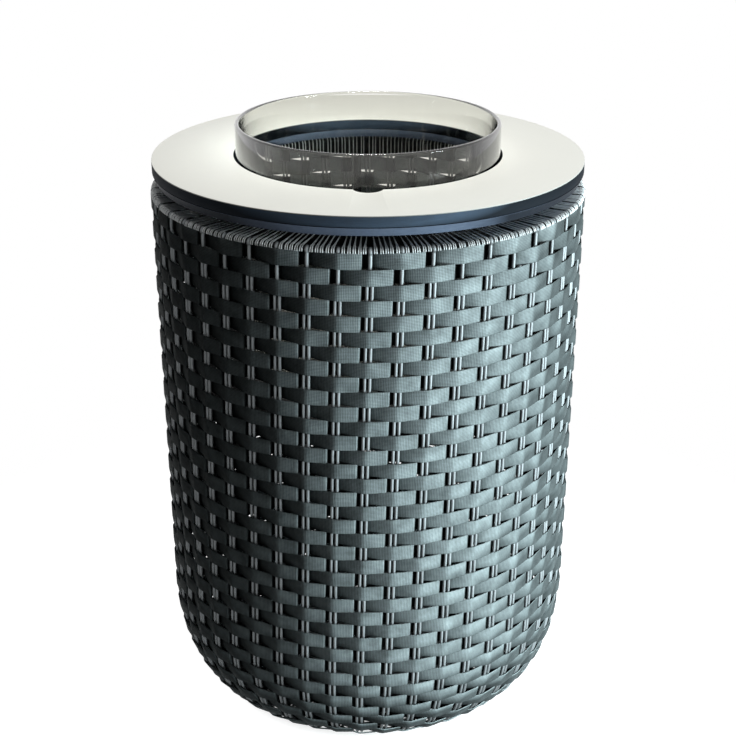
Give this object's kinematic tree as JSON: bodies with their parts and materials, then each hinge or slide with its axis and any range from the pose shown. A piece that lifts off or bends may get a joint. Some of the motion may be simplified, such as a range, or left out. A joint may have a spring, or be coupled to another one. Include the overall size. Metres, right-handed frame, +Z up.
{
  "type": "cooler table",
  "caption": "Round woven side table with a lift-off ring tabletop over a clear ice bucket.",
  "frame": {"origin": "centre of the footprint, on the floor", "axes": "+Z up; the finger notch in the tabletop faces -Y"},
  "size_m": [0.405, 0.405, 0.5837],
  "materials": {
    "woven_fibre": "ribbed flat strap and round strand, satin",
    "frame_metal": "powder coated",
    "laminate": "pale fine-textured face on a dark core",
    "ring_core": "dark, satin machined edge",
    "acrylic": "clear, polished edges",
    "rubber": "matt",
    "screw_steel": "plain"
  },
  "bodies": {
    "basket": {"base_hoop": "frame_metal", "basket_wall": "woven_fibre", "glide_1": "rubber", "glide_2": "rubber", "glide_3": "rubber", "glide_4": "rubber", "rim_band": "frame_metal", "rim_bridge_1": "frame_metal", "rim_bridge_2": "frame_metal", "rim_bridge_3": "frame_metal", "rim_bridge_4": "frame_metal", "rim_bridge_5": "frame_metal", "rim_bridge_6": "frame_metal", "rim_bridge_7": "frame_metal", "rim_bridge_8": "frame_metal", "rim_hoop": "frame_metal", "rim_wrap": "woven_fibre", "shelf_hoop": "frame_metal", "shelf_pad_1": "rubber", "shelf_pad_2": "rubber", "shelf_pad_3": "rubber", "shelf_pad_4": "rubber", "shelf_plate": "frame_metal", "shelf_screw_1": "screw_steel", "shelf_screw_2": "screw_steel", "shelf_screw_3": "screw_steel", "shelf_screw_4": "screw_steel", "upright_1": "frame_metal", "upright_2": "frame_metal", "upright_3": "frame_metal", "upright_4": "frame_metal", "upright_5": "frame_metal", "upright_6": "frame_metal", "upright_7": "frame_metal", "upright_8": "frame_metal"},
    "tabletop": {"block_screw_1": "screw_steel", "block_screw_2": "screw_steel", "block_screw_3": "screw_steel", "block_screw_4": "screw_steel", "locating_block_1": "rubber", "locating_block_2": "rubber", "locating_block_3": "rubber", "locating_block_4": "rubber", "rest_pad_1": "rubber", "rest_pad_2": "rubber", "rest_pad_3": "rubber", "rest_pad_4": "rubber", "tabletop_board": "laminate", "under_ring": "ring_core"},
    "bucket": {"bucket_floor": "acrylic", "bucket_wall": "acrylic"}
  },
  "joints": [
    {"name": "tabletop_lift", "type": "slide", "parent": "basket", "child": "tabletop", "axis": [0, 0, 1], "range_m": [0, 0.06]},
    {"name": "bucket_lift", "type": "slide", "parent": "basket", "child": "bucket", "axis": [0, 0, 1], "range_m": [0, 0.24]}
  ]
}
